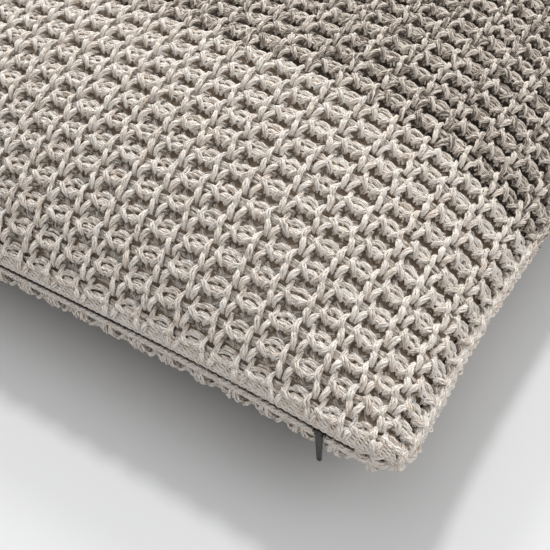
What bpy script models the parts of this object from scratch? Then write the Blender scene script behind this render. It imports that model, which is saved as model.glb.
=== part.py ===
"""Square throw pillow: a rib-knitted cover in two yarns, closed by a concealed zip, round a filled insert.

The pillow lies on its back. X runs along the zip, the zip edge faces -Y, and Z is up. Metres.
"""
import math

import bmesh
import bpy
from mathutils import Matrix

# Cover. The knitted faces meet in a level seam, SEAM_HEIGHT above the surface the pillow lies on.
COVER_HALF = 0.235
CORNER_POWER = 22
FRONT_CROWN = 0.070
BACK_CROWN = 0.055
SEAM_HEIGHT = 0.040
PROFILE_POWER = 3.6
PROFILE_ROUND = 0.82
KNIT_THICKNESS = 0.007
CLEARANCE = 0.0003
YARN_CHANGE_GAP = 0.0012

# Knitting: whole wales across and courses up each face. The lighter yarn fills the first courses.
FACE_STEPS = 20
LIGHT_STEPS = 6

# Zip. Depths are measured inwards from the cover's outer face, heights from the seam.
SLOT_HALF = 0.0023
COIL_HALF_LENGTH = 0.2125
COIL_DEPTHS = (0.0010, 0.0034)
COIL_HEIGHTS = (0.00015, 0.00105)
TAPE_DEPTHS = (0.0037, 0.0157)
TAPE_HEIGHTS = (0.00015, 0.00065)
TAPE_HALF_LENGTH = 0.2165
STITCH_DEPTH = 0.0075
STITCH_RADIUS = 0.00055
STOP_LENGTH = 0.003
STOP_DEPTHS = (0.0007, 0.0036)
STOP_HALF_HEIGHT = 0.0012

# Slider and its pull tab.
SLIDER_LENGTH = 0.0085
SLIDER_END = 0.2120
SLIDER_DEPTHS = (-0.0016, 0.0034)
SLIDER_HALF_HEIGHT = 0.00195
CHANNEL_DEPTH = 0.0007
CHANNEL_HALF_HEIGHT = 0.00135
CHANNEL_OVERRUN = 0.001
BAIL_ROOT = 0.0008
BAIL_DEPTH = -0.0031
BAIL_RADIUS = 0.0004
BAIL_HALF_SPAN = 0.0026
KNUCKLE_RADIUS = 0.00115
KNUCKLE_BORE = 0.00075
KNUCKLE_HALF_WIDTH = 0.0015
TAB_LENGTH = 0.0165
TAB_THICKNESS = 0.0008
TAB_TOP_HALF_WIDTH = 0.0015
TAB_TIP_HALF_WIDTH = 0.0010
EYELET_RADIUS = 0.00045
EYELET_SETBACK = 0.0013
TAB_ROUNDING = 0.0009
TAB_HOLE_DEPTH = 0.010

# Seams, insert and label.
SEAM_INSET = 0.0035
SEAM_RADIUS = 0.0019
SEAM_SPACING = 0.010
SEAM_START = 0.2200
SEAM_END_TRIM = 0.004
INSERT_INSET = 0.023
INSERT_CLEARANCE = 0.001
CASING_THICKNESS = 0.0012
FILL_CLEARANCE = 0.0006
EDGE_THREAD_RADIUS = 0.0006
EDGE_THREAD_GAP_STEPS = 12
LABEL_X = (-0.2290, -0.2145)
LABEL_LENGTH = 0.040
LABEL_THICKNESS = 0.0005
LABEL_Y = -0.120

# The pull tab stands proud of the zip edge, so the cover sits back by half of that.
PROUD = KNUCKLE_RADIUS - BAIL_DEPTH
COVER_Y = PROUD / 2
ZIP_FACE_Y = COVER_Y - COVER_HALF

MATERIALS = {
    "cream_cotton_yarn": ((0.62, 0.53, 0.43), 0.92, 0.0),
    "taupe_cotton_yarn": ((0.23, 0.185, 0.15), 0.92, 0.0),
    "zip_tape": ((0.055, 0.052, 0.050), 0.85, 0.0),
    "zip_coil": ((0.040, 0.038, 0.037), 0.45, 0.0),
    "sewing_thread": ((0.42, 0.36, 0.29), 0.75, 0.0),
    "zip_metal": ((0.20, 0.195, 0.19), 0.38, 1.0),
    "casing_cotton": ((0.66, 0.62, 0.54), 0.90, 0.0),
    "fill_fibre": ((0.80, 0.79, 0.76), 0.95, 0.0),
    "label_tape": ((0.72, 0.71, 0.68), 0.80, 0.0),
}


def clear_scene():
    for item in list(bpy.data.objects):
        bpy.data.objects.remove(item)


def new_collection(name):
    collection = bpy.data.collections.new(name)
    bpy.context.scene.collection.children.link(collection)
    return collection


def material(name):
    found = bpy.data.materials.get(name)
    if found:
        return found
    colour, roughness, metallic = MATERIALS[name]
    made = bpy.data.materials.new(name)
    made.use_nodes = True
    shader = made.node_tree.nodes["Principled BSDF"]
    shader.inputs["Base Color"].default_value = (*colour, 1)
    shader.inputs["Roughness"].default_value = roughness
    shader.inputs["Metallic"].default_value = metallic
    return made


def add_object(name, data, collection, material_name):
    item = bpy.data.objects.new(name, data)
    collection.objects.link(item)
    data.materials.append(material(material_name))
    return item


def mesh_object(name, bm, collection, material_name, smooth_angle=math.radians(40)):
    bmesh.ops.recalc_face_normals(bm, faces=bm.faces)
    if bm.calc_volume(signed=True) < 0:
        bmesh.ops.reverse_faces(bm, faces=bm.faces)
    mesh = bpy.data.meshes.new(name)
    bm.to_mesh(mesh)
    bm.free()
    mesh.shade_smooth()
    mesh.set_sharp_from_angle(angle=smooth_angle)
    return add_object(name, mesh, collection, material_name)


def profile(t):
    """Height of the cushion's section, 1 at the middle and 0 at the edge."""
    return max(0.0, 1 - abs(t) ** PROFILE_POWER) ** PROFILE_ROUND


def even_stations(count, crown):
    """Places across a face, -1 to 1, evenly spaced along the curve of its middle section."""
    samples = 2000
    places = [math.sin(math.pi * (k / samples - 0.5)) for k in range(samples + 1)]
    lengths = [0.0]
    for before, after in zip(places, places[1:]):
        rise = crown * (profile(after) - profile(before))
        lengths.append(lengths[-1] + math.hypot(COVER_HALF * (after - before), rise))
    stations = []
    k = 0
    for step in range(count + 1):
        wanted = lengths[-1] * step / count
        while k < samples and lengths[k] < wanted - 1e-9:
            k += 1
        stations.append(places[k])
    return stations


def plan_point(u, v, half):
    """Plan of the cushion: a square of rounded corners, filled by u and v from -1 to 1."""
    reach = max(abs(u), abs(v))
    norm = (abs(u) ** CORNER_POWER + abs(v) ** CORNER_POWER) ** (1 / CORNER_POWER)
    shrink = reach / norm if norm else 1.0
    return half * u * shrink, COVER_Y + half * v * shrink


def front_layer(half, crown, rim):
    """A layer of the front face, doming up from its rim."""
    def place(u, v):
        x, y = plan_point(u, v, half)
        return x, y, SEAM_HEIGHT + rim + crown * profile(u) * profile(v)
    return place


def back_layer(half, crown, rim, floor):
    """A layer of the back face, doming down from its rim and flattened where the pillow rests."""
    def place(u, v):
        x, y = plan_point(u, v, half)
        return x, y, max(floor, SEAM_HEIGHT - rim - crown * profile(u) * profile(v))
    return place


def add_layer(bm, us, vs, place):
    """A grid laid on a layer's surface. Returns its vertices, in the grid's own order."""
    verts = bmesh.ops.create_grid(bm, x_segments=len(us) - 1, y_segments=len(vs) - 1, size=1)["verts"]
    for vert in verts:
        u = us[round((vert.co.x + 1) / 2 * (len(us) - 1))]
        v = vs[round((vert.co.y + 1) / 2 * (len(vs) - 1))]
        vert.co = place(u, v)
    return verts


def layered_solid(name, us, vs, outer, inner, collection, material_name):
    """The closed solid between two layers, with a band of quads round its border."""
    bm = bmesh.new()
    skin = add_layer(bm, us, vs, outer)
    lining = add_layer(bm, us, vs, inner)
    opposite = dict(zip(skin, lining))
    border = [edge for edge in bm.edges if edge.is_boundary and edge.verts[0] in opposite]
    for edge in border:
        first, second = edge.verts
        bm.faces.new((first, second, opposite[second], opposite[first]))
    return mesh_object(name, bm, collection, material_name)


def box_bmesh(low, high):
    bm = bmesh.new()
    bmesh.ops.create_cube(bm, size=1)
    size = [b - a for a, b in zip(low, high)]
    centre = [(a + b) / 2 for a, b in zip(low, high)]
    bmesh.ops.scale(bm, vec=size, verts=bm.verts)
    bmesh.ops.translate(bm, vec=centre, verts=bm.verts)
    return bm


def box_object(name, low, high, collection, material_name, bevel=0.0):
    item = mesh_object(name, box_bmesh(low, high), collection, material_name)
    if bevel:
        rounding = item.modifiers.new("rounding", "BEVEL")
        rounding.width = bevel
        rounding.segments = 2
    return item


def zip_box(name, x_range, depths, heights, collection, material_name, bevel=0.0):
    """A box beside the zip edge, from its depths behind the face and heights above the seam."""
    low = (x_range[0], ZIP_FACE_Y + depths[0], SEAM_HEIGHT + heights[0])
    high = (x_range[1], ZIP_FACE_Y + depths[1], SEAM_HEIGHT + heights[1])
    return box_object(name, low, high, collection, material_name, bevel)


def tube_object(name, points, radius, collection, material_name):
    curve = bpy.data.curves.new(name, "CURVE")
    curve.dimensions = "3D"
    curve.bevel_depth = radius
    curve.bevel_resolution = 2
    curve.use_fill_caps = True
    spline = curve.splines.new("POLY")
    spline.points.add(len(points) - 1)
    for target, point in zip(spline.points, points):
        target.co = (*point, 1)
    return add_object(name, curve, collection, material_name)


def outline_path(half, corner_power=CORNER_POWER, samples=2400):
    """The rounded square's outline, once round from the middle of the +X side, anticlockwise."""
    points = []
    for k in range(samples + 1):
        angle = 2 * math.pi * k / samples
        c, s = math.cos(angle), math.sin(angle)
        x = half * math.copysign(abs(c) ** (2 / corner_power), c)
        y = half * math.copysign(abs(s) ** (2 / corner_power), s)
        points.append((x, COVER_Y + y))
    return points


def spaced(points, spacing):
    """The same path, with points about one spacing apart."""
    lengths = [0.0]
    for before, after in zip(points, points[1:]):
        lengths.append(lengths[-1] + math.dist(before, after))
    count = max(2, round(lengths[-1] / spacing))
    result = []
    k = 0
    for step in range(count + 1):
        wanted = lengths[-1] * step / count
        while k < len(points) - 1 and lengths[k] < wanted - 1e-9:
            k += 1
        result.append(points[k])
    return result


def make_knit(collection):
    """Front and back faces, each knitted in one piece and changing yarn at a straight course."""
    steps = even_stations(FACE_STEPS, FRONT_CROWN)
    split = steps[LIGHT_STEPS]
    half_gap = YARN_CHANGE_GAP / 2 / COVER_HALF
    light = steps[:LIGHT_STEPS] + [split - half_gap]
    dark = [split + half_gap] + steps[LIGHT_STEPS + 1:]
    inner_half = COVER_HALF - KNIT_THICKNESS
    front_outer = front_layer(COVER_HALF, FRONT_CROWN, SLOT_HALF)
    front_inner = front_layer(inner_half, FRONT_CROWN - KNIT_THICKNESS, SLOT_HALF)
    back_outer = back_layer(COVER_HALF, BACK_CROWN, SLOT_HALF, 0.0)
    back_inner = back_layer(inner_half, BACK_CROWN - KNIT_THICKNESS, SLOT_HALF, KNIT_THICKNESS)
    yarns = (("cream", light, "cream_cotton_yarn"), ("taupe", dark, "taupe_cotton_yarn"))
    for yarn, rows, material_name in yarns:
        layered_solid(f"front_panel_{yarn}", steps, rows, front_outer, front_inner, collection, material_name)
        layered_solid(f"back_panel_{yarn}", steps, rows, back_outer, back_inner, collection, material_name)


def make_seams(collection):
    """Linked seams that join the faces along the two sides and the far edge."""
    outline = outline_path(COVER_HALF - SEAM_INSET)
    quarter = (len(outline) - 1) // 4
    far_right = quarter // 2
    far_left = quarter + quarter // 2
    near = [k for k in range(3 * quarter) if k > 2 * quarter and outline[k][0] <= -SEAM_START]
    left = outline[far_left:near[-1] + 1]
    right = [(-x, y) for x, y in left]
    far = outline[far_right:far_left + 1]
    trim = round(SEAM_END_TRIM / math.dist(left[0], left[-1]) * len(left)) + 2
    runs = {"seam_left": left[trim:], "seam_right": right[trim:], "seam_far": far[trim:-trim]}
    for name, run in runs.items():
        path = [(x, y, SEAM_HEIGHT) for x, y in spaced(run, SEAM_SPACING)]
        tube_object(name, path, SEAM_RADIUS, collection, "cream_cotton_yarn" if name != "seam_far"
                    else "taupe_cotton_yarn")


def make_zip(collection):
    """Two halves of a concealed zip: coil, tape and the stitching that holds each tape to its face."""
    stitch_height = (TAPE_HEIGHTS[1] + SLOT_HALF) / 2
    for side, sign in (("front", 1), ("back", -1)):
        coil = sorted(sign * height for height in COIL_HEIGHTS)
        tape = sorted(sign * height for height in TAPE_HEIGHTS)
        zip_box(f"zipper_coil_{side}", (-COIL_HALF_LENGTH, COIL_HALF_LENGTH), COIL_DEPTHS, coil,
                collection, "zip_coil", bevel=0.0003)
        zip_box(f"zipper_tape_{side}", (-TAPE_HALF_LENGTH, TAPE_HALF_LENGTH), TAPE_DEPTHS, tape,
                collection, "zip_tape")
        height = SEAM_HEIGHT + sign * stitch_height
        ends = (-TAPE_HALF_LENGTH, TAPE_HALF_LENGTH)
        path = [(x, ZIP_FACE_Y + STITCH_DEPTH, height) for x in ends]
        tube_object(f"zipper_stitching_{side}", path, STITCH_RADIUS, collection, "sewing_thread")
    for end, sign in (("top", 1), ("bottom", -1)):
        near = COIL_HALF_LENGTH + CLEARANCE
        reach = sorted((sign * near, sign * (near + STOP_LENGTH)))
        zip_box(f"zipper_{end}_stop", reach, STOP_DEPTHS, (-STOP_HALF_HEIGHT, STOP_HALF_HEIGHT),
                collection, "zip_metal", bevel=0.0004)


def apply_modifiers(item):
    """Bakes an object's modifiers into its mesh."""
    depsgraph = bpy.context.evaluated_depsgraph_get()
    mesh = bpy.data.meshes.new_from_object(item.evaluated_get(depsgraph))
    item.modifiers.clear()
    item.data = mesh


def hide_cutter(cutter):
    cutter.hide_render = True
    cutter.display_type = "WIRE"


def boolean(item, other, operation):
    change = item.modifiers.new(operation.lower(), "BOOLEAN")
    change.operation = operation
    change.object = other


def make_slider(collection, cutters):
    """The slider: a channel that straddles both coils, and a bail on its outer face for the tab."""
    start = SLIDER_END - SLIDER_LENGTH
    body = zip_box("zipper_slider", (start, SLIDER_END), SLIDER_DEPTHS,
                   (-SLIDER_HALF_HEIGHT, SLIDER_HALF_HEIGHT), collection, "zip_metal", bevel=0.0004)
    body.modifiers["rounding"].segments = 1
    apply_modifiers(body)
    channel = zip_box("slider_channel_cutter", (start - CHANNEL_OVERRUN, SLIDER_END + CHANNEL_OVERRUN),
                      (CHANNEL_DEPTH, SLIDER_DEPTHS[1] + CHANNEL_OVERRUN),
                      (-CHANNEL_HALF_HEIGHT, CHANNEL_HALF_HEIGHT), cutters, "zip_metal")
    boolean(body, channel, "DIFFERENCE")
    middle = SLIDER_END - SLIDER_LENGTH / 2
    face = SLIDER_DEPTHS[0] + BAIL_ROOT
    legs = ((-BAIL_HALF_SPAN, face), (-BAIL_HALF_SPAN, BAIL_DEPTH), (BAIL_HALF_SPAN, BAIL_DEPTH),
            (BAIL_HALF_SPAN, face))
    path = [(middle + x, ZIP_FACE_Y + depth, SEAM_HEIGHT) for x, depth in legs]
    wire = tube_object("slider_bail_wire", path, BAIL_RADIUS, cutters, "zip_metal")
    bpy.context.view_layer.update()
    mesh = bpy.data.meshes.new_from_object(wire.evaluated_get(bpy.context.evaluated_depsgraph_get()))
    bm = bmesh.new()
    bm.from_mesh(mesh)
    bmesh.ops.remove_doubles(bm, verts=bm.verts, dist=0.00001)
    bpy.data.objects.remove(wire)
    bail = mesh_object("slider_bail", bm, cutters, "zip_metal")
    boolean(body, bail, "UNION")
    for cutter in (channel, bail):
        hide_cutter(cutter)
    return middle


def make_pull_tab(collection, cutters, middle):
    """The tab, hanging from the bail. Its origin is on the bail's axis, which runs along X."""
    bm = bmesh.new()
    bmesh.ops.create_cone(bm, cap_ends=True, segments=16, radius1=KNUCKLE_RADIUS,
                          radius2=KNUCKLE_RADIUS, depth=2 * KNUCKLE_HALF_WIDTH,
                          matrix=Matrix.Rotation(math.pi / 2, 4, "Y"))
    tab = mesh_object("zipper_pull_tab", bm, collection, "zip_metal")
    blade = box_bmesh((-1, -TAB_THICKNESS / 2, -TAB_LENGTH), (1, TAB_THICKNESS / 2, -KNUCKLE_BORE - 0.0001))
    for vert in blade.verts:
        half_width = TAB_TIP_HALF_WIDTH if vert.co.z < -TAB_LENGTH / 2 else TAB_TOP_HALF_WIDTH
        vert.co.x *= half_width
    corners = [edge for edge in blade.edges
               if all(vert.co.z < -TAB_LENGTH / 2 for vert in edge.verts) and
               abs(edge.verts[0].co.x - edge.verts[1].co.x) < 1e-6]
    bmesh.ops.bevel(blade, geom=corners, offset=TAB_ROUNDING, segments=3, profile=0.5,
                    affect="EDGES")
    plate = mesh_object("tab_blade", blade, cutters, "zip_metal")
    boolean(tab, plate, "UNION")
    holes = (("tab_knuckle_bore", KNUCKLE_BORE, "Y", 0.0),
             ("tab_eyelet", EYELET_RADIUS, "X", EYELET_SETBACK - TAB_LENGTH))
    parts = [plate]
    for name, radius, axis, height in holes:
        hole = bmesh.new()
        bmesh.ops.create_cone(hole, cap_ends=True, segments=12, radius1=radius, radius2=radius,
                              depth=TAB_HOLE_DEPTH, matrix=Matrix.Rotation(math.pi / 2, 4, axis))
        bmesh.ops.translate(hole, vec=(0, 0, height), verts=hole.verts)
        cutter = mesh_object(name, hole, cutters, "zip_metal")
        boolean(tab, cutter, "DIFFERENCE")
        parts.append(cutter)
    hinge = bpy.data.objects.new("pull_tab_axis", None)
    collection.objects.link(hinge)
    hinge.location = (middle, ZIP_FACE_Y + BAIL_DEPTH, SEAM_HEIGHT)
    tab.parent = hinge
    for cutter in parts:
        cutter.parent = hinge
        hide_cutter(cutter)


def make_insert(collection):
    """The insert: two casing faces, the thread that closes their edge, and the fibre filling."""
    steps = even_stations(FACE_STEPS, FRONT_CROWN)
    half = COVER_HALF - INSERT_INSET
    rim = CLEARANCE / 2
    above = SLOT_HALF - rim - KNIT_THICKNESS - INSERT_CLEARANCE
    front_crown = FRONT_CROWN + above
    back_crown = BACK_CROWN + above
    floor = KNIT_THICKNESS + INSERT_CLEARANCE
    inner_half = half - CASING_THICKNESS
    layered_solid("insert_casing_front", steps, steps, front_layer(half, front_crown, rim),
                  front_layer(inner_half, front_crown - CASING_THICKNESS, rim),
                  collection, "casing_cotton")
    layered_solid("insert_casing_back", steps, steps, back_layer(half, back_crown, rim, floor),
                  back_layer(inner_half, back_crown - CASING_THICKNESS, rim, floor + CASING_THICKNESS),
                  collection, "casing_cotton")
    fill_half = inner_half - FILL_CLEARANCE
    shrink = CASING_THICKNESS + FILL_CLEARANCE
    layered_solid("insert_filling", steps, steps, front_layer(fill_half, front_crown - shrink, rim),
                  back_layer(fill_half, back_crown - shrink, rim, floor + shrink),
                  collection, "fill_fibre")
    loop = outline_path(half + EDGE_THREAD_RADIUS + CLEARANCE)
    path = [(x, y, SEAM_HEIGHT) for x, y in spaced(loop[:-EDGE_THREAD_GAP_STEPS], SEAM_SPACING)]
    tube_object("insert_edge_thread", path, EDGE_THREAD_RADIUS, collection, "sewing_thread")


def make_label(collection):
    """A blank tape label, caught in the left seam inside the cover."""
    low = (LABEL_X[0], LABEL_Y - LABEL_LENGTH / 2, SEAM_HEIGHT - LABEL_THICKNESS / 2)
    high = (LABEL_X[1], LABEL_Y + LABEL_LENGTH / 2, SEAM_HEIGHT + LABEL_THICKNESS / 2)
    box_object("care_label", low, high, collection, "label_tape")


def main():
    clear_scene()
    pillow = new_collection("throw_pillow")
    cutters = new_collection("cutters")
    make_knit(pillow)
    make_seams(pillow)
    make_zip(pillow)
    middle = make_slider(pillow, cutters)
    make_pull_tab(pillow, cutters, middle)
    make_insert(pillow)
    make_label(pillow)


main()
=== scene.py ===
"""Looks of the throw pillow: looped rib knitting, seams, zip and insert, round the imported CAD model."""

import math

import bpy
import numpy as np
from mathutils import Matrix, Vector


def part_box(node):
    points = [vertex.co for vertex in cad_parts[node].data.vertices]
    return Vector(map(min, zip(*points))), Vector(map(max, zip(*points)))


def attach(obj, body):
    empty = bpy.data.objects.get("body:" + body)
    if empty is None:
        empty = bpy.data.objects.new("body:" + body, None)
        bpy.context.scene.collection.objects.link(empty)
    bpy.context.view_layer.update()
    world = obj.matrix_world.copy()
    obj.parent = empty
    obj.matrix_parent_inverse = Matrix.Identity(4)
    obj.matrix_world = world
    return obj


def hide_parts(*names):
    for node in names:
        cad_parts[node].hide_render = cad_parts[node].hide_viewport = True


# Cover, in metres. The same driving dimensions as the CAD model.
COVER_HALF = 0.235
SEAM_HEIGHT = 0.040
SLOT_HALF = 0.0023

# The knitted faces: crowned squares whose corners spread a little and sit low. The crowns, spread and dip
# are in metres, and the rest shape the curves.
FRONT_CROWN = 0.0655
BACK_CROWN = 0.046
PROFILE_POWER = 3.55
PROFILE_ROUND = 0.80
BACK_ROUND = 0.55
CORNER_POWER = 30
CORNER_RANGE = 16
CORNER_REACH = 5
CORNER_SPREAD = (0.010, 0.007)
CORNER_DIP = 0.010
DIP_RIM = 8

# Knitting: ribs across a face, courses up it, and the courses knitted in the lighter yarn.
RIBS = 30
COURSES = 40
LIGHT_COURSES = 12
BLOCK_COURSES = 6

# In stitches: where a stitch's node lies in its course, how far the outer ribs lie past the rim, and the
# strip by the zip where stitches are pressed together to leave room for the hem.
NODE_ROW = 0.40
EDGE_RIB = 0.20
HEM_ROOM = 0.50
HEM_SQUEEZE = 0.62

# In metres: the middle of the yarn below the surface, the room that keeps it off the ground, and how far
# the inner layer lies behind it.
YARN_INSET = 0.0030
REST_GAP = 0.0026
GROUND_DEPTH = 0.0034

# Unevenness. Wander and scatter are in ribs, courses and millimetres, and jitter is in metres.
WANDER_AMOUNT = (0.030, 0.026, 0.22)
STITCH_SCATTER = (0.013, 0.013, 0.17)
TURN_SCATTER = 0.35
SPREAD_SCATTER = 0.07
RADIUS_SCATTER = 0.10
YARN_JITTER = 0.00011

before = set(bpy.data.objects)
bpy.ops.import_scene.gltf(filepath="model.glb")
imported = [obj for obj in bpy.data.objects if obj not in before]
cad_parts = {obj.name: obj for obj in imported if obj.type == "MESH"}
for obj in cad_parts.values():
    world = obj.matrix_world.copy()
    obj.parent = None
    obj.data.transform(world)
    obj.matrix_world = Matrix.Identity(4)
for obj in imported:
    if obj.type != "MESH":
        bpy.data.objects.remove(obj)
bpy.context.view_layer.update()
COVER_Y = float(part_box("front_panel_taupe")[1][1]) - COVER_HALF


# ---------------------------------------------------------------- meshes

def mesh_piece(name, verts, faces, material, uv=None, tone=None):
    """An object from arrays: faces of one size, an optional corner UV map and a point attribute."""
    mesh = bpy.data.meshes.new(name)
    verts = np.asarray(verts, np.float32)
    faces = np.asarray(faces, np.int32)
    mesh.vertices.add(len(verts))
    mesh.vertices.foreach_set("co", verts.ravel())
    mesh.loops.add(faces.size)
    mesh.loops.foreach_set("vertex_index", faces.ravel())
    mesh.polygons.add(len(faces))
    mesh.polygons.foreach_set("loop_start", np.arange(len(faces), dtype=np.int32) * faces.shape[1])
    mesh.update(calc_edges=True)
    if uv is not None:
        layer = mesh.uv_layers.new(name="yarn")
        layer.data.foreach_set("uv", np.asarray(uv, np.float32).ravel())
    if tone is not None:
        layer = mesh.attributes.new("tone", "FLOAT", "POINT")
        layer.data.foreach_set("value", np.asarray(tone, np.float32))
    mesh.shade_smooth()
    mesh.materials.append(material)
    piece = bpy.data.objects.new(name, mesh)
    bpy.context.scene.collection.objects.link(piece)
    return piece


# ---------------------------------------------------------------- cushion surface

def profile(t, rounding=PROFILE_ROUND):
    """Height of a face's middle section, 1 at the middle and 0 at the rims."""
    return np.maximum(1e-6, 1 - np.abs(t) ** PROFILE_POWER) ** rounding


SECTION_STEPS = 2001


def even_places(crown, counts):
    """Places across a face, -1 to 1, for even steps along the curve of its middle section."""
    places = np.sin(np.pi * (np.linspace(0, 1, SECTION_STEPS) - 0.5))
    steps = np.hypot(COVER_HALF * np.diff(places), crown * np.diff(profile(places)))
    lengths = np.concatenate([[0], np.cumsum(steps)])
    return np.interp(np.linspace(0, lengths[-1], counts), lengths, places)


def cover_points(u, v, crown, side, half):
    """Points of a face for places u and v from -1 to 1, side +1 for the front and -1 for the back."""
    reach = np.maximum(np.abs(u), np.abs(v))
    norm = (np.abs(u) ** CORNER_POWER + np.abs(v) ** CORNER_POWER) ** (1 / CORNER_POWER)
    shrink = 1 + (reach / np.maximum(norm, 1e-9) - 1) * reach ** CORNER_RANGE
    corner = np.abs(u * v) ** CORNER_REACH
    x = half * u * shrink + CORNER_SPREAD[0] * corner * np.sign(u)
    y = half * v * shrink + CORNER_SPREAD[1] * corner * np.sign(v)
    rounding = PROFILE_ROUND if side > 0 else BACK_ROUND
    rise = crown / (1 / profile(u, rounding) + 1 / profile(v, rounding) - 1)
    rise = rise - CORNER_DIP * corner * np.clip((1 - reach) * DIP_RIM, 0, 1)
    return np.stack([x, COVER_Y + y, SEAM_HEIGHT + side * (SLOT_HALF + rise)], axis=-1)


class Face:
    """One face of the cover, sampled by rib and course numbers, and carried on past its rim."""
    FINE = 4
    PAST = 3
    PAST_STEP = 0.0032

    def __init__(self, side, inset=YARN_INSET):
        self.side = side
        crown = FRONT_CROWN if side > 0 else BACK_CROWN
        u = even_places(crown, RIBS * self.FINE + 1)[:, None]
        v = even_places(crown, COURSES * self.FINE + 1)[None, :]
        grid = cover_points(u, v, crown - inset, side, COVER_HALF - inset)
        if side < 0:
            grid[..., 2] = np.maximum(grid[..., 2], inset + REST_GAP)
        for axis in (0, 1):
            grid = self._carry_on(grid, axis)
        self.grid = grid
        self.normals = self._normals()

    def _carry_on(self, grid, axis):
        """Adds rows beyond two rims, going straight down from the front or up from the back."""
        drop = np.array([0, 0, -self.side * self.PAST_STEP])
        first, last = np.take(grid, [0], axis), np.take(grid, [-1], axis)
        before = [first + drop * k for k in range(self.PAST, 0, -1)]
        after = [last + drop * k for k in range(1, self.PAST + 1)]
        return np.concatenate(before + [grid] + after, axis=axis)

    def _normals(self):
        """Unit normals pointing out of the cushion."""
        across = np.gradient(self.grid, axis=0)
        along = np.gradient(self.grid, axis=1)
        normals = np.cross(across, along) * self.side
        normals /= np.linalg.norm(normals, axis=-1, keepdims=True) + 1e-12
        return normals

    def _sample(self, field, s, t):
        """The field between its samples, at rib s and course t."""
        a = np.clip(s * self.FINE + self.PAST, 0, field.shape[0] - 1.001)
        b = np.clip(t * self.FINE + self.PAST, 0, field.shape[1] - 1.001)
        i, j = a.astype(int), b.astype(int)
        p, q = (a - i)[..., None], (b - j)[..., None]
        low = field[i, j] * (1 - p) + field[i + 1, j] * p
        high = field[i, j + 1] * (1 - p) + field[i + 1, j + 1] * p
        return low * (1 - q) + high * q

    def place(self, s, t, z):
        """Points at rib s, course t and height z over the middle of the knitting."""
        point = self._sample(self.grid, s, t)
        normal = self._sample(self.normals, s, t)
        normal /= np.linalg.norm(normal, axis=-1, keepdims=True)
        return point + normal * z[..., None], normal


# ---------------------------------------------------------------- stitches

MM = 0.001

# Strokes of yarn in one stitch. Each point is (rib, course, height in mm); the knit rib is centred on 0,
# the purl furrow on 0.5, and the node where the legs cross is at course 0.
KNOT_LEG = ((-0.150, 0.56, -0.2), (-0.180, 0.42, 1.7), (-0.205, 0.22, 2.6), (-0.190, 0.05, 3.3),
            (-0.165, -0.08, 2.8), (-0.140, -0.19, 1.0))
RIGHT_KNOT = ((0.140, 0.52, -0.4), (0.175, 0.38, 1.4), (0.200, 0.20, 2.2), (0.185, 0.05, 2.7),
              (0.165, -0.08, 2.0), (0.145, -0.17, 0.6))
LONG_LEG = ((-0.190, -0.06, 1.4), (-0.160, -0.20, 2.8), (-0.115, -0.36, 3.3), (-0.080, -0.52, 2.8),
            (-0.065, -0.66, 1.2))
NODE_BAR = ((-0.18, 0.11, 0.2), (0.0, 0.095, 0.8), (0.18, 0.11, 0.2))
LOW_BAR = ((-0.16, -0.02, -0.3), (0.0, -0.04, 0.3), (0.16, -0.02, -0.3))
CAP_LEG = ((0.115, 0.085, 2.2), (0.195, 0.040, 3.2), (0.280, -0.05, 3.0), (0.365, -0.15, 2.4),
           (0.435, -0.24, 0.6))
STAR_LEG = ((0.205, 0.05, 1.6), (0.285, -0.03, 2.6), (0.370, -0.13, 2.2), (0.445, -0.24, 0.5))
DEEP_LEG = ((0.30, -0.30, -2.4), (0.39, -0.42, -2.2), (0.49, -0.54, -2.6))
TUCK_END = ((0.19, 0.16, 1.4), (0.27, 0.22, 1.5), (0.36, 0.25, 0.9), (0.44, 0.22, -0.4))
RUNG = ((-0.20, -0.30, -2.2), (0.0, -0.33, -1.8), (0.20, -0.30, -2.2))
FLOOR_RUNG = ((0.15, -0.46, -3.6), (0.5, -0.49, -3.2), (0.85, -0.46, -3.6))


def arch(top, drop, height, reach):
    """A raised loop over the furrow."""
    foot = top - drop
    return ((0.5 - reach, foot, height - 2.0), (0.5 - 0.80 * reach, foot + 0.55 * drop, height - 0.8),
            (0.5 - 0.38 * reach, foot + 0.93 * drop, height),
            (0.5 + 0.38 * reach, foot + 0.93 * drop, height),
            (0.5 + 0.80 * reach, foot + 0.55 * drop, height - 0.8), (0.5 + reach, foot, height - 2.0))


def mirrored(points, about=0.0):
    """The same stroke on the other side of a rib line."""
    return tuple((2 * about - x, y, z) for x, y, z in points)


# Where the strands of a bundle lie in its section, in strand spacings.
SECTIONS = {1: ((0.0, 0.0),), 2: ((-0.5, 0.0), (0.5, 0.0)), 3: ((-0.62, -0.25), (0.62, -0.25), (0.0, 0.45)),
            4: ((-0.80, -0.1), (0.80, -0.1), (-0.05, 0.55), (0.05, -0.55))}

# Widths of a bundle along its stroke, as shares of its full width.
FULL = (1.0, 1.0)
KNOT_WIDTHS = (0.75, 0.85, 1.0, 1.2, 1.1, 0.75)
LEG_WIDTHS = (0.75, 1.05, 1.1, 1.05, 0.75)
STAR_WIDTHS = (0.8, 1.1, 1.1, 0.8)

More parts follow.
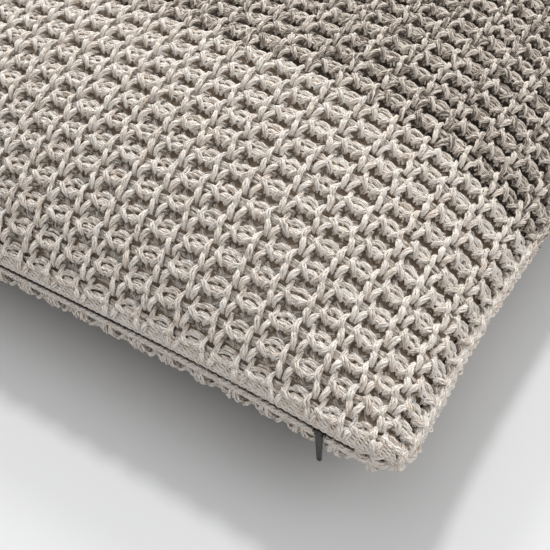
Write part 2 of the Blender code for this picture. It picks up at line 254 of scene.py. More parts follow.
# (kind, points, strands, strand radius mm, spacing mm, segments, widths, twist in radians)
STROKES = [
    ("knot", KNOT_LEG, 4, 0.60, 1.00, 8, KNOT_WIDTHS, 1.9),
    ("knot", RIGHT_KNOT, 4, 0.56, 0.92, 8, KNOT_WIDTHS, -1.7),
    ("leg", LONG_LEG, 4, 0.62, 0.98, 6, LEG_WIDTHS, 1.6),
    ("leg", mirrored(LONG_LEG), 4, 0.62, 0.98, 6, LEG_WIDTHS, -1.6),
    ("bar", NODE_BAR, 2, 0.62, 1.05, 3, FULL, 0.4),
    ("bar", LOW_BAR, 2, 0.62, 1.05, 3, FULL, 0.4),
    ("rung", RUNG, 3, 0.62, 1.3, 3, FULL, 0.3),
    ("arch", arch(0.110, 0.13, 0.8, 0.25), 1, 0.60, 0.0, 7, FULL, 0.0),
    ("arch", arch(0.040, 0.14, 1.6, 0.25), 1, 0.62, 0.0, 7, FULL, 0.0),
    ("arch", arch(-0.035, 0.13, 2.0, 0.24), 1, 0.62, 0.0, 7, FULL, 0.0),
    ("arch", arch(-0.105, 0.10, 1.8, 0.21), 1, 0.58, 0.0, 6, FULL, 0.0),
    ("arch", arch(-0.165, 0.07, 1.1, 0.16), 1, 0.54, 0.0, 6, FULL, 0.0),
    ("star", CAP_LEG, 4, 0.60, 0.95, 6, LEG_WIDTHS, -1.6),
    ("star", mirrored(STAR_LEG, 0.5), 4, 0.60, 0.95, 5, STAR_WIDTHS, 1.6),
    ("deep", DEEP_LEG, 3, 0.58, 1.0, 3, FULL, 0.5),
    ("deep", mirrored(DEEP_LEG, 0.5), 3, 0.58, 1.0, 3, FULL, 0.5),
    ("deep", FLOOR_RUNG, 3, 0.62, 1.3, 4, FULL, 0.3),
    ("upper", arch(0.425, 0.15, 0.9, 0.24), 1, 0.60, 0.0, 6, FULL, 0.0),
    ("upper", arch(0.355, 0.14, 1.4, 0.24), 1, 0.60, 0.0, 6, FULL, 0.0),
    ("upper", arch(0.290, 0.12, 1.2, 0.21), 1, 0.58, 0.0, 6, FULL, 0.0),
    ("tuck", TUCK_END, 2, 0.60, 0.95, 4, FULL, 0.8),
    ("tuck", mirrored(TUCK_END, 0.5), 2, 0.60, 0.95, 4, FULL, 0.8),
]

# The kinds that lie in the furrow, which has no place past the last rib, and those behind the other strands.
FURROW = ("arch", "star", "deep", "upper", "tuck")
HIDDEN = ("deep", "tuck", "rung")
COARSE_STROKES = [stroke for stroke in STROKES if stroke[0] not in HIDDEN]
STRAND_SIDES = 5
COARSE_SIDES = 4


def smooth_curve(points, count):
    """Catmull-Rom points through the control points."""
    p = np.array(points, float)
    p = np.vstack([2 * p[0] - p[1], p, 2 * p[-1] - p[-2]])
    spans = len(p) - 3
    at = np.linspace(0, spans, count + 1)
    k = np.minimum(at.astype(int), spans - 1)
    f = (at - k)[:, None]
    a, b, c, d = p[k], p[k + 1], p[k + 2], p[k + 3]
    return 0.5 * (2 * b + (c - a) * f + (2 * a - 5 * b + 4 * c - d) * f ** 2
                  + (3 * b - a - 3 * c + d) * f ** 3)


def along(values, count):
    """Values spread evenly along a stroke, read at its points."""
    return np.interp(np.linspace(0, 1, count + 1), np.linspace(0, 1, len(values)), values)


def tubes(centres, normals, radii, sides):
    """Tubes round many centre lines at once. centres is (lines, points, 3)."""
    tangents = np.gradient(centres, axis=1)
    tangents /= np.linalg.norm(tangents, axis=-1, keepdims=True) + 1e-12
    across = np.cross(tangents, normals)
    across /= np.linalg.norm(across, axis=-1, keepdims=True) + 1e-12
    up = np.cross(across, tangents)
    angles = np.arange(sides) * 2 * np.pi / sides
    ring = (np.cos(angles)[None, None, :, None] * across[:, :, None]
            + np.sin(angles)[None, None, :, None] * up[:, :, None])
    verts = centres[:, :, None] + ring * radii[:, :, None, None]
    lines, points = centres.shape[:2]
    index = np.arange(lines * points * sides).reshape(lines, points, sides)
    nxt = np.roll(index, -1, axis=2)
    faces = np.stack([index[:, :-1], nxt[:, :-1], nxt[:, 1:], index[:, 1:]], axis=-1)
    lengths = np.concatenate([np.zeros((lines, 1)),
                              np.cumsum(np.linalg.norm(np.diff(centres, axis=1), axis=-1), axis=1)], axis=1)
    turn = np.arange(sides + 1) / sides
    low = np.broadcast_to(turn[:-1], (lines, points - 1, sides))
    high = np.broadcast_to(turn[1:], (lines, points - 1, sides))
    start = np.broadcast_to(lengths[:, :-1, None], low.shape)
    end = np.broadcast_to(lengths[:, 1:, None], low.shape)
    uv = np.stack([np.stack([low, start], -1), np.stack([high, start], -1),
                   np.stack([high, end], -1), np.stack([low, end], -1)], axis=-2)
    return verts.reshape(-1, 3), faces.reshape(-1, 4), uv.reshape(-1, 2)


class Batch:
    """Gathers tubes into one mesh."""

    def __init__(self):
        self.verts, self.faces, self.uv, self.tone = [], [], [], []
        self.count = 0

    def add(self, verts, faces, uv, tone):
        self.verts.append(verts)
        self.faces.append(faces + self.count)
        self.uv.append(uv)
        self.tone.append(tone)
        self.count += len(verts)

    def piece(self, name, material):
        return mesh_piece(name, np.concatenate(self.verts), np.concatenate(self.faces), material,
                          np.concatenate(self.uv), np.concatenate(self.tone))


class Wander:
    """Smooth unevenness of the knitting, so that stitches differ but their yarns still meet."""

    def __init__(self, seed, amount):
        rng = np.random.default_rng(seed)
        self.field = rng.normal(0, 1, (RIBS * 2 + 4, COURSES * 2 + 4, 3)) * np.array(amount)

    def __call__(self, s, t):
        a, b = np.clip(s * 2 + 1, 0, RIBS * 2 + 2), np.clip(t * 2 + 1, 0, COURSES * 2 + 2)
        i, j = a.astype(int), b.astype(int)
        p, q = (a - i)[..., None], (b - j)[..., None]
        p, q = p * p * (3 - 2 * p), q * q * (3 - 2 * q)
        f = self.field
        low = f[i, j] * (1 - p) + f[i + 1, j] * p
        high = f[i, j + 1] * (1 - p) + f[i + 1, j + 1] * p
        return low * (1 - q) + high * q


RIM_ROOM = 0.5
WIDTH_SHARE = 0.45


def knit_block(face, wander, courses, strokes, sides, seed):
    """The stitches of some courses of one face, as one batch of strands."""
    rng = np.random.default_rng(seed)
    ribs = np.linspace(-EDGE_RIB, RIBS + EDGE_RIB, RIBS + 1)
    s0, t0 = (grid.ravel().astype(float) for grid in np.meshgrid(ribs, np.array(courses) + NODE_ROW))
    batch = Batch()
    for kind, points, strands, radius, spacing, segments, widths, twist in strokes:
        curve = smooth_curve(points, segments)
        wide = along(widths, segments)
        offset = rng.normal(0, 1, (len(s0), 1, 3)) * np.array(STITCH_SCATTER)
        local = curve[None] + offset
        s = s0[:, None] + local[..., 0]
        t = t0[:, None] + local[..., 1]
        shift = wander(s, t)
        s = s + shift[..., 0]
        t = t + shift[..., 1]
        t = np.where(t < HEM_ROOM, HEM_ROOM - (HEM_ROOM - t) * HEM_SQUEEZE, t)
        z = (local[..., 2] + shift[..., 2]) * MM
        keep = (t.min(axis=1) > -RIM_ROOM) & (t.max(axis=1) < COURSES + RIM_ROOM)
        if kind in FURROW:
            keep &= s0 < RIBS
        centre, normal = face.place(s[keep], t[keep], z[keep])
        tangent = np.gradient(centre, axis=1)
        tangent /= np.linalg.norm(tangent, axis=-1, keepdims=True) + 1e-12
        across = np.cross(tangent, normal)
        count = len(centre)
        if not count:
            continue
        turn = rng.normal(0, TURN_SCATTER, (count, 1)) + twist * np.linspace(-0.5, 0.5, segments + 1)[None]
        swell = rng.normal(1, SPREAD_SCATTER, (count, 1)) * spacing * MM * wide[None]
        for along_section, over_section in SECTIONS[strands]:
            side_way = along_section * np.cos(turn) - over_section * np.sin(turn)
            up_way = along_section * np.sin(turn) + over_section * np.cos(turn)
            line = centre + across * (side_way * swell)[..., None] + normal * (up_way * swell)[..., None]
            line = line + rng.normal(0, YARN_JITTER, line.shape)
            radii = radius * MM * (1 - WIDTH_SHARE + WIDTH_SHARE * wide[None])
            radii = radii * rng.normal(1, RADIUS_SCATTER, (count, segments + 1))
            verts, faces, uv = tubes(line, normal, radii, sides)
            tone = np.repeat(rng.random(count), (segments + 1) * sides)
            uv[:, 1] += np.repeat(rng.random(count), segments * sides * 4)
            batch.add(verts, faces, uv, tone)
    return batch


# ---------------------------------------------------------------- materials

def new_material(name):
    """A new material, its node tree, its shader and the piece's own coordinates."""
    material = bpy.data.materials.new(name)
    material.use_nodes = True
    tree = material.node_tree
    place = tree.nodes.new("ShaderNodeTexCoord").outputs["Object"]
    return material, tree, tree.nodes["Principled BSDF"], place


def maths(tree, operation, *inputs):
    """A maths node fed by numbers and by other nodes' outputs."""
    node = tree.nodes.new("ShaderNodeMath")
    node.operation = operation
    for socket, value in zip(node.inputs, inputs):
        if isinstance(value, (int, float)):
            socket.default_value = value
        else:
            tree.links.new(value, socket)
    return node.outputs[0]


def noise(tree, place, scale, detail=2.0):
    """Noise from 0 to 1 at a place in the piece."""
    node = tree.nodes.new("ShaderNodeTexNoise")
    node.inputs["Scale"].default_value = scale
    node.inputs["Detail"].default_value = detail
    tree.links.new(place, node.inputs["Vector"])
    return node.outputs["Fac"]


def relief(tree, shader, height, strength, depth):
    """Fine relief on the surface, depth in metres."""
    node = tree.nodes.new("ShaderNodeBump")
    node.inputs["Strength"].default_value = strength
    node.inputs["Distance"].default_value = depth
    tree.links.new(height, node.inputs["Height"])
    tree.links.new(node.outputs[0], shader.inputs["Normal"])


def coloured(tree, shader, factor, stops):
    """The base colour, from a ramp of (position, colour) stops."""
    node = tree.nodes.new("ShaderNodeValToRGB")
    node.color_ramp.elements[0].position = stops[0][0]
    node.color_ramp.elements[0].color = (*stops[0][1], 1)
    node.color_ramp.elements[1].position = stops[-1][0]
    node.color_ramp.elements[1].color = (*stops[-1][1], 1)
    for position, colour in stops[1:-1]:
        element = node.color_ramp.elements.new(position)
        element.color = (*colour, 1)
    tree.links.new(factor, node.inputs[0])
    tree.links.new(node.outputs[0], shader.inputs["Base Color"])


YARN_TWIST = 300.0
STRAND_LINES = 4.0
PLY_GAP_PAINTED_SHADE = 0.22


def yarn_material(name, stops, marl=0.55):
    """Plied cotton: fine ends lie along each strand with a slight twist, in several shades, with painted
    shade darkening the colour between the ends.
    """
    material, tree, shader, place = new_material(name)
    shader.inputs["Roughness"].default_value = 0.88
    shader.inputs["Specular IOR Level"].default_value = 0.25
    shader.inputs["Sheen Weight"].default_value = 0.25
    shader.inputs["Sheen Roughness"].default_value = 0.5
    uv = tree.nodes.new("ShaderNodeUVMap")
    uv.uv_map = "yarn"
    split = tree.nodes.new("ShaderNodeSeparateXYZ")
    tree.links.new(uv.outputs["UV"], split.inputs[0])
    tone = tree.nodes.new("ShaderNodeAttribute")
    tone.attribute_name = "tone"
    lines = maths(tree, "MULTIPLY", split.outputs["X"], STRAND_LINES)
    twisted = maths(tree, "MULTIPLY_ADD", split.outputs["Y"], YARN_TWIST, lines)
    ends = maths(tree, "SINE", maths(tree, "MULTIPLY", twisted, 2 * math.pi))
    relief(tree, shader, maths(tree, "MULTIPLY_ADD", ends, 0.5, noise(tree, place, 2600.0)), 0.85, 0.0004)
    shade = maths(tree, "MULTIPLY_ADD", tone.outputs["Fac"], marl, noise(tree, place, 420.0, 3.0))
    # The ply lines also darken the base colour between the fine ends: painted shade.
    coloured(tree, shader, maths(tree, "MULTIPLY_ADD", ends, PLY_GAP_PAINTED_SHADE, shade), stops)
    return material


CREAM = yarn_material("cream cotton yarn", (
    (0.18, (0.54, 0.42, 0.31)), (0.40, (0.85, 0.725, 0.61)), (0.66, (0.95, 0.865, 0.775)),
    (1.0, (0.98, 0.925, 0.86))))
TAUPE = yarn_material("taupe cotton yarn", (
    (0.26, (0.115, 0.088, 0.066)), (0.52, (0.225, 0.18, 0.142)), (0.80, (0.565, 0.48, 0.40)),
    (1.0, (0.90, 0.81, 0.72))), marl=0.95)


def cloth_material(name, colour, weave=900.0, roughness=0.85, depth=0.00015):
    """A plain weave of crossing threads."""
    material, tree, shader, place = new_material(name)
    shader.inputs["Roughness"].default_value = roughness
    shader.inputs["Specular IOR Level"].default_value = 0.2
    threads = []
    for axis in ("X", "Y"):
        wave = tree.nodes.new("ShaderNodeTexWave")
        wave.wave_type = "BANDS"
        wave.bands_direction = axis
        wave.inputs["Scale"].default_value = weave
        wave.inputs["Distortion"].default_value = 0.6
        tree.links.new(place, wave.inputs["Vector"])
        threads.append(wave.outputs["Fac"])
    relief(tree, shader, maths(tree, "ADD", *threads), 0.5, depth)
    dark = tuple(c * 0.78 for c in colour)
    coloured(tree, shader, noise(tree, place, 160.0), ((0.3, dark), (0.7, colour)))
    return material


YARNS = {True: ("cream", CREAM), False: ("taupe", TAUPE)}
# The inner layer's colours are darker than the yarns: painted shade for the gaps between stitches.
PAINTED_SHADE_GROUND_CREAM = cloth_material("knit ground cream painted shade", (0.46, 0.355, 0.265), weave=400.0)
PAINTED_SHADE_GROUND_TAUPE = cloth_material("knit ground taupe painted shade", (0.15, 0.12, 0.094), weave=400.0)


# ---------------------------------------------------------------- knitting

front = Face(1)
back = Face(-1)


def own(piece, slot_name, *nodes):
    """A piece of the cushion's body and the CAD nodes it stands for, which it hides. The finish name is not
    used.
    """
    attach(piece, "cushion")
    if nodes:
        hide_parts(*nodes)
    return piece


def knit_pieces(face, label, seed):
    """The stitches of a face in blocks of courses. Returns (piece, whether it is cream) pairs."""
    wander = Wander(seed, WANDER_AMOUNT)
    made = []
    start = 0
    while start < COURSES:
        end = min(start + BLOCK_COURSES, COURSES)
        if start < LIGHT_COURSES < end:
            end = LIGHT_COURSES
        light = start < LIGHT_COURSES
        strokes, sides = (STROKES, STRAND_SIDES) if face.side > 0 else (COARSE_STROKES, COARSE_SIDES)
        batch = knit_block(face, wander, range(start, end), strokes, sides, seed + 1 + start)
        colour, material = YARNS[light]
        piece = batch.piece(f"{label}_knit_{colour}_{start:02d}", material)
        made.append((own(piece, f"{colour}_yarn"), light))
        start = end
    return made


front_knit = knit_pieces(front, "front", 11)
back_knit = knit_pieces(back, "back", 211)


# How far each plied strand lies past the rim, into the slot, and how far it stands out of the surface.
HEM_STRANDS = ((-0.0042, -0.0006), (-0.0030, 0.0002), (-0.0018, 0.0009), (-0.0006, 0.0014), (0.0006, 0.0016))
HEM_PLY_RADIUS = 0.000576
HEM_PLY_OFFSET = 0.00045
HEM_PLIES = 2
HEM_TURNS_A_RIB = 2.3
HEM_STEPS_A_RIB = 12
HEM_PAST = 0.1
PLY_SIDES = 5


def hem_piece(face, label, seed):
    """The narrow selvedge along the zip opening: plied strands lying side by side."""
    rng = np.random.default_rng(seed)
    batch = Batch()
    s = np.linspace(-HEM_PAST, RIBS + HEM_PAST, RIBS * HEM_STEPS_A_RIB + 1)[None]
    rim, normal = face.place(s, np.zeros_like(s), np.zeros_like(s))
    down = np.array([0, 0, -face.side])
    for depth, proud in HEM_STRANDS:
        start = rng.random() * 6
        for ply in range(HEM_PLIES):
            angle = s * 2 * np.pi * HEM_TURNS_A_RIB + start + 2 * np.pi * ply / HEM_PLIES
            line = rim + normal * (proud + HEM_PLY_OFFSET * np.cos(angle))[..., None]
            line = line + down * (depth + HEM_PLY_OFFSET * np.sin(angle))[..., None]
            verts, faces, uv = tubes(line, normal, np.full(s.shape, HEM_PLY_RADIUS), PLY_SIDES)
            batch.add(verts, faces, uv, np.full(len(verts), rng.random()))
    return own(batch.piece(f"{label}_zip_hem", CREAM), "cream_yarn")


def quads(index):
    """Four-sided faces over a grid of point numbers."""
    return np.stack([index[:-1, :-1], index[1:, :-1], index[1:, 1:], index[:-1, 1:]], axis=-1).reshape(-1, 4)


def painted_shade_ground_piece(side, low, high, name, material):
    """The knitting's inner layer, a sheet just behind the stitches, coloured darker than the yarn as painted
    shade in the gaps between them.
    """
    face = Face(side, inset=YARN_INSET + GROUND_DEPTH)
    first = low * Face.FINE + Face.PAST
    last = high * Face.FINE + Face.PAST + 1
    grid = face.grid[Face.PAST:-Face.PAST, first:last]
    faces = quads(np.arange(grid[..., 0].size).reshape(grid.shape[:2]))
    if side < 0:
        faces = faces[:, ::-1]
    return mesh_piece(name, grid.reshape(-1, 3), faces, material)


front_knit.append((hem_piece(front, "front", 31), True))
back_knit.append((hem_piece(back, "back", 231), True))

for side, label, knit in ((1, "front", front_knit), (-1, "back", back_knit)):
    for light, (colour, _) in YARNS.items():
        low, high = (0, LIGHT_COURSES) if light else (LIGHT_COURSES, COURSES)
        # Sheets behind the stitches, their colour darkened as painted shade for the gaps.
        painted_shade_ground = painted_shade_ground_piece(side, low, high, f"{label}_ground_{colour}",
                              PAINTED_SHADE_GROUND_CREAM if light else PAINTED_SHADE_GROUND_TAUPE)
        own(painted_shade_ground, f"{colour}_yarn", f"{label}_panel_{colour}")


# ---------------------------------------------------------------- seams

# One leg of a chain stitch: millimetres along the edge, above its middle and out from it.
CHAIN_PITCH = 0.0062
CHAIN_STEPS = 8
CHAIN_LEG = ((-0.8, 0.2, -0.4), (0.8, 0.8, 1.4), (3.0, 1.9, 2.1), (5.2, 2.6, 1.2), (6.6, 2.2, -0.6))
CHAIN_STRANDS = 4
CHAIN_STRAND_RADIUS = 0.00062
CHAIN_SPACING = 0.75
CHAIN_TWIST = 2.4
CHAIN_TURN_SCATTER = 0.25
CHAIN_WOBBLE = 0.12
CHAIN_INSET = 0.0035
CHAIN_SIDES = 5
RIM_STEPS = 60
SEAM_END = 0.936


def outline_runs():
    """The three sewn edges as places on the rim; the side seams turn the corners to the ends of the zip."""
    def run(*corners):
        steps = [np.linspace(a, b, RIM_STEPS, endpoint=False) for a, b in zip(corners[:-1], corners[1:])]
        return np.concatenate(steps + [np.array([corners[-1]])])
    near = [np.array((side * SEAM_END, -1.0)) for side in (-1, 1)]
    low = [np.array((side, -1.0)) for side in (-1, 1)]
    high = [np.array((side, 1.0)) for side in (-1, 1)]
    return {"seam_left": run(near[0], low[0], high[0]), "seam_far": run(high[0], high[1]),
            "seam_right": run(near[1], low[1], high[1])}


def even_path(points, step):
    """The path resampled at even steps."""
    lengths = np.concatenate([[0], np.cumsum(np.linalg.norm(np.diff(points, axis=0), axis=1))])
    at = np.linspace(0, lengths[-1], max(2, int(round(lengths[-1] / step)) + 1))
    return np.stack([np.interp(at, lengths, points[:, axis]) for axis in range(3)], axis=-1)


def level_outward(path):
    """Unit directions outward from a level path round the cushion."""
    ahead = np.gradient(path, axis=0)
    ahead /= np.linalg.norm(ahead, axis=1, keepdims=True) + 1e-12
    outward = np.cross(ahead, [0.0, 0.0, 1.0])
    outward *= np.sign((outward * (path - [0, COVER_Y, SEAM_HEIGHT])).sum(axis=1).mean())
    return outward


def chain_seam(node, places, seed):
    """A knitted chain lying over the joined edges, one V a stitch, in the yarns of the faces it joins."""
    rng = np.random.default_rng(seed)
    rim = cover_points(places[:, 0], places[:, 1], 0.0, 0, COVER_HALF - CHAIN_INSET)
    path = even_path(rim, CHAIN_PITCH / CHAIN_STEPS)
    outward = level_outward(path)
    limit_y = COVER_Y + COVER_HALF * (2 * LIGHT_COURSES / COURSES - 1)
    batches = {True: Batch(), False: Batch()}
    curve = smooth_curve(CHAIN_LEG, CHAIN_STEPS)
    starts = np.arange(0, len(path) - CHAIN_STEPS, CHAIN_STEPS)
    for sign in (1, -1):
        for section in range(CHAIN_STRANDS):
            index = starts[:, None] + curve[None, :, 0] * CHAIN_STEPS / (CHAIN_PITCH / MM)
            index = np.clip(index, 0, len(path) - 1.001)
            low = index.astype(int)
            part = (index - low)[..., None]
            centre = path[low] * (1 - part) + path[low + 1] * part
            out = outward[low]
            turn = np.linspace(0, sign * CHAIN_TWIST, CHAIN_STEPS + 1)[None]
            angle = 2 * np.pi * section / CHAIN_STRANDS + turn
            angle = angle + rng.normal(0, CHAIN_TURN_SCATTER, (len(starts), 1))
            wobble = rng.normal(0, CHAIN_WOBBLE, (len(starts), 1))
            high = curve[None, :, 1] + CHAIN_SPACING * np.sin(angle) + wobble
            proud = curve[None, :, 2] + CHAIN_SPACING * np.cos(angle) + wobble
            line = centre + out * (proud * MM)[..., None] + np.array([0, 0, sign * MM]) * high[..., None]
            for light in (True, False):
                keep = (centre[:, 0, 1] < limit_y) == light
                if not keep.any():
                    continue
                chosen = line[keep]
                radii = np.full(chosen.shape[:2], CHAIN_STRAND_RADIUS)
                verts, faces, uv = tubes(chosen, out[keep], radii, CHAIN_SIDES)
                tone = np.repeat(rng.random(len(chosen)), (CHAIN_STEPS + 1) * CHAIN_SIDES)
                batches[light].add(verts, faces, uv, tone)
    for light, batch in batches.items():
        if not batch.count:
            continue
        colour, material = YARNS[light]
        own(batch.piece(f"{node}_{colour}_chain", material), f"{colour}_yarn", node)


SEAM_SEED = 400

for number, (node, places) in enumerate(outline_runs().items()):
    chain_seam(node, places, SEAM_SEED + number)


# ---------------------------------------------------------------- zip

def plain_material(name, colour, dark, roughness, scale, depth, metallic=0.0, specular=0.5):
    """A surface with small relief and blotches, for metal, moulded nylon and thread."""
    material, tree, shader, place = new_material(name)
    shader.inputs["Metallic"].default_value = metallic
    shader.inputs["Specular IOR Level"].default_value = specular
    blotches = noise(tree, place, scale, 4.0)
    coloured(tree, shader, blotches, ((0.35, dark), (0.65, colour)))
    rough = tree.nodes.new("ShaderNodeMapRange")
    rough.inputs["To Min"].default_value = roughness * 0.8
    rough.inputs["To Max"].default_value = min(1.0, roughness * 1.2)
    tree.links.new(blotches, rough.inputs["Value"])
    tree.links.new(rough.outputs["Result"], shader.inputs["Roughness"])
    relief(tree, shader, blotches, 0.4, depth)
    return material


GUNMETAL = plain_material("gunmetal lacquer", (0.105, 0.098, 0.092), (0.055, 0.051, 0.048), 0.42, 900,
                          0.00004, metallic=0.6)
NYLON = plain_material("grey nylon coil", (0.075, 0.070, 0.066), (0.04, 0.037, 0.035), 0.40, 700, 0.00003)
THREAD = plain_material("beige thread", (0.50, 0.44, 0.37), (0.33, 0.28, 0.23), 0.80, 1800, 0.00008,
                        specular=0.2)
TAPE = cloth_material("grey zip tape", (0.075, 0.070, 0.066), weave=1400.0, depth=0.00008)
CASING = cloth_material("unbleached cotton", (0.66, 0.61, 0.53), weave=700.0)
FIBRE = plain_material("polyester fibre", (0.86, 0.85, 0.82), (0.62, 0.61, 0.58), 0.95, 260, 0.0012,
                       specular=0.1)
LABEL = cloth_material("satin label tape", (0.78, 0.77, 0.74), weave=1800.0, roughness=0.45, depth=0.00005)

COIL_PITCH = 0.0014
COIL_WIRE = 0.00030
COIL_STEPS = 12
THREAD_SIDES = 6
STITCH_LENGTH = 0.0034
STITCH_GAP = 0.0008
STITCH_SHIFT = 0.00012
STITCH_RISE = 0.00035
STITCH_RADIUS = 0.00028
STITCH_TIP = 0.15
STITCH_TIP_WIDTH = 0.3
TAPE_RIPPLE = 0.00012
TAPE_WAVE = 260
TAPE_STEPS = 320
LABEL_CURL = 0.00035
LABEL_WAVE = 190
LABEL_STEPS = 48
BAND_THICKNESS = 0.7
EAST, NORTH, UP = np.eye(3)


def whole(node):
    """A CAD node's lowest corner, highest corner and middle."""
    low, high = (np.array(corner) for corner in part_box(node))
    return low, high, (low + high) / 2


def coil_piece(node, phase):
    """One half of the zip's chain: a nylon spiral with a turn for each tooth."""
    low, high, middle = whole(node)
    turns = int((high[0] - low[0]) / COIL_PITCH) - 1
    angle = np.linspace(0, turns * 2 * np.pi, turns * COIL_STEPS + 1) + phase
    deep = (high[1] - low[1]) / 2 - COIL_WIRE
    tall = (high[2] - low[2]) / 2 - COIL_WIRE
    x = middle[0] + (np.linspace(0, turns, len(angle)) - turns / 2) * COIL_PITCH
    line = np.stack([x, middle[1] + deep * np.cos(angle), middle[2] + tall * np.sin(angle)], axis=-1)[None]
    normal = np.stack([np.zeros_like(x), np.cos(angle), np.sin(angle)], axis=-1)[None]
    verts, faces, uv = tubes(line, normal, np.full(line.shape[:2], COIL_WIRE), THREAD_SIDES)
    own(mesh_piece(f"{node}_spiral", verts, faces, NYLON, uv), "zip_coil", node)


def ribbon(centre, across, up, width, thickness):
    """A closed flat band along a line of points, a little rounded at its edges."""
    lower = [(-0.5, -0.3), (-0.46, -0.5), (0.0, -0.5), (0.46, -0.5), (0.5, -0.3)]
    section = lower + [(a, -b) for a, b in reversed(lower)]
    rings = [centre + across * (a * width) + up * (b * thickness) for a, b in section]
    verts = np.stack(rings, axis=1)
    points, sides = verts.shape[:2]
    index = np.arange(points * sides).reshape(points, sides)
    nxt = np.roll(index, -1, axis=1)
    faces = np.stack([index[:-1], nxt[:-1], nxt[1:], index[1:]], axis=-1).reshape(-1, 4)
    half = sides // 2
    caps = []
    for ring, order in ((index[0], 1), (index[-1], -1)):
        for k in range(half - 1):
            quad = [ring[k], ring[k + 1], ring[sides - 2 - k], ring[sides - 1 - k]]
            caps.append(quad[::-order])
    return verts.reshape(-1, 3), np.concatenate([faces, np.array(caps)])


def tape_piece(node, seed):
    """The woven tape that carries a coil, rippled a little where the knitting draws it in."""
    low, high, middle = whole(node)
    x = np.linspace(low[0], high[0], TAPE_STEPS)
    rng = np.random.default_rng(seed)
    ripple = TAPE_RIPPLE * np.sin(x * TAPE_WAVE + rng.random() * 6)
    centre = np.stack([x, np.full_like(x, middle[1]), middle[2] + ripple], axis=-1)
    verts, faces = ribbon(centre, NORTH, UP, high[1] - low[1], (high[2] - low[2]) * BAND_THICKNESS)
    piece = own(mesh_piece(f"{node}_woven", verts, faces, TAPE), "zip_tape", node)


def stitching_piece(node, seed):
    """A row of lock stitches holding the tape to the knitting."""
    low, high, middle = whole(node)
    rng = np.random.default_rng(seed)
    starts = np.arange(low[0], high[0] - STITCH_LENGTH, STITCH_LENGTH + STITCH_GAP)
    along_stitch = np.linspace(0, 1, 7)[None]
    side = 1 if middle[2] > SEAM_HEIGHT else -1
    x = starts[:, None] + along_stitch * STITCH_LENGTH
    y = middle[1] + rng.normal(0, STITCH_SHIFT, (len(starts), 1)) + 0 * x
    z = middle[2] + side * STITCH_RISE * (np.sin(np.pi * along_stitch) - 0.5) + 0 * x
    line = np.stack([x, y, z], axis=-1)
    width = np.interp(along_stitch, [0, STITCH_TIP, 1 - STITCH_TIP, 1],
                      [STITCH_TIP_WIDTH, 1, 1, STITCH_TIP_WIDTH])
    radii = STITCH_RADIUS * width + 0 * x
    verts, faces, uv = tubes(line, np.broadcast_to(NORTH, line.shape), radii, THREAD_SIDES)
    own(mesh_piece(f"{node}_row", verts, faces, THREAD, uv), "sewing_thread", node)


TAPE_SEED = 500
STITCH_SEED = 510

for number, side in enumerate(("front", "back")):
    coil_piece(f"zipper_coil_{side}", np.pi * number)
    tape_piece(f"zipper_tape_{side}", TAPE_SEED + number)
    stitching_piece(f"zipper_stitching_{side}", STITCH_SEED + number)

for node in ("zipper_top_stop", "zipper_bottom_stop", "zipper_slider", "zipper_pull_tab"):
    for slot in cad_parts[node].material_slots:
        slot.material = GUNMETAL


def label_piece():
    """The blank sewn-in label: one strip of satin tape, slightly curled."""
    low, high, middle = whole("care_label")
    y = np.linspace(low[1], high[1], LABEL_STEPS)
    curl = LABEL_CURL * np.sin((y - low[1]) * LABEL_WAVE)
    centre = np.stack([np.full_like(y, middle[0]), y, middle[2] + curl], axis=-1)
    verts, faces = ribbon(centre, EAST, UP, high[0] - low[0], (high[2] - low[2]) * BAND_THICKNESS)
    piece = own(mesh_piece("care_label_blank", verts, faces, LABEL), "label_tape", "care_label")


label_piece()


# ---------------------------------------------------------------- insert

INSERT_GRID = 76
INSERT_HALF = 0.2105
INSERT_FRONT_CROWN = FRONT_CROWN - 0.0125
INSERT_BACK_CROWN = BACK_CROWN - 0.0145
INSERT_FLOOR = 0.0095
FLOOR_SAG = 0.001
SWELL_CAP = 0.0045
PRESSURE = 4.0
CLOTH_FRAMES = 20
FILLING_DEPTH = 0.0030
FILLING_LUMPS = 0.0016
FILLING_SEED = 600
OVERCAST_STEP = 0.0005
OVERCAST_PITCH = 0.004
OVERCAST_REACH = 0.0011
OVERCAST_RADIUS = 0.0003
OVERCAST_PROUD = 0.0006
OVERCAST_END = (-0.9, -1)
SIDE_STEPS = 80


def insert_shape():
    """A closed pillow, two crowned squares with one rim.

    Returns its points, its faces, which of them are front, and the grid of the front's point numbers.
    """
    places = np.sin(np.pi / 2 * np.linspace(-1, 1, INSERT_GRID))
    places = 0.5 * places + 0.5 * np.linspace(-1, 1, INSERT_GRID)
    u, v = np.meshgrid(places, places, indexing="ij")
    front_grid = cover_points(u, v, INSERT_FRONT_CROWN, 1, INSERT_HALF)
    back_grid = cover_points(u, v, INSERT_BACK_CROWN, -1, INSERT_HALF)
    front_grid[..., 2] -= SLOT_HALF
    back_grid[..., 2] += SLOT_HALF
    back_grid[..., 2] = np.maximum(back_grid[..., 2], INSERT_FLOOR)
    n = INSERT_GRID
    front_index = np.arange(n * n).reshape(n, n)
    back_index = front_index.copy()
    inside = np.zeros((n, n), bool)
    inside[1:-1, 1:-1] = True
    back_index[inside] = n * n + np.arange(inside.sum())
    points = np.concatenate([front_grid.reshape(-1, 3), back_grid[inside]])
    faces = np.concatenate([quads(front_index), quads(back_index)[:, ::-1]])
    is_front = np.arange(len(faces)) < (n - 1) ** 2
    return points, faces, is_front, front_index


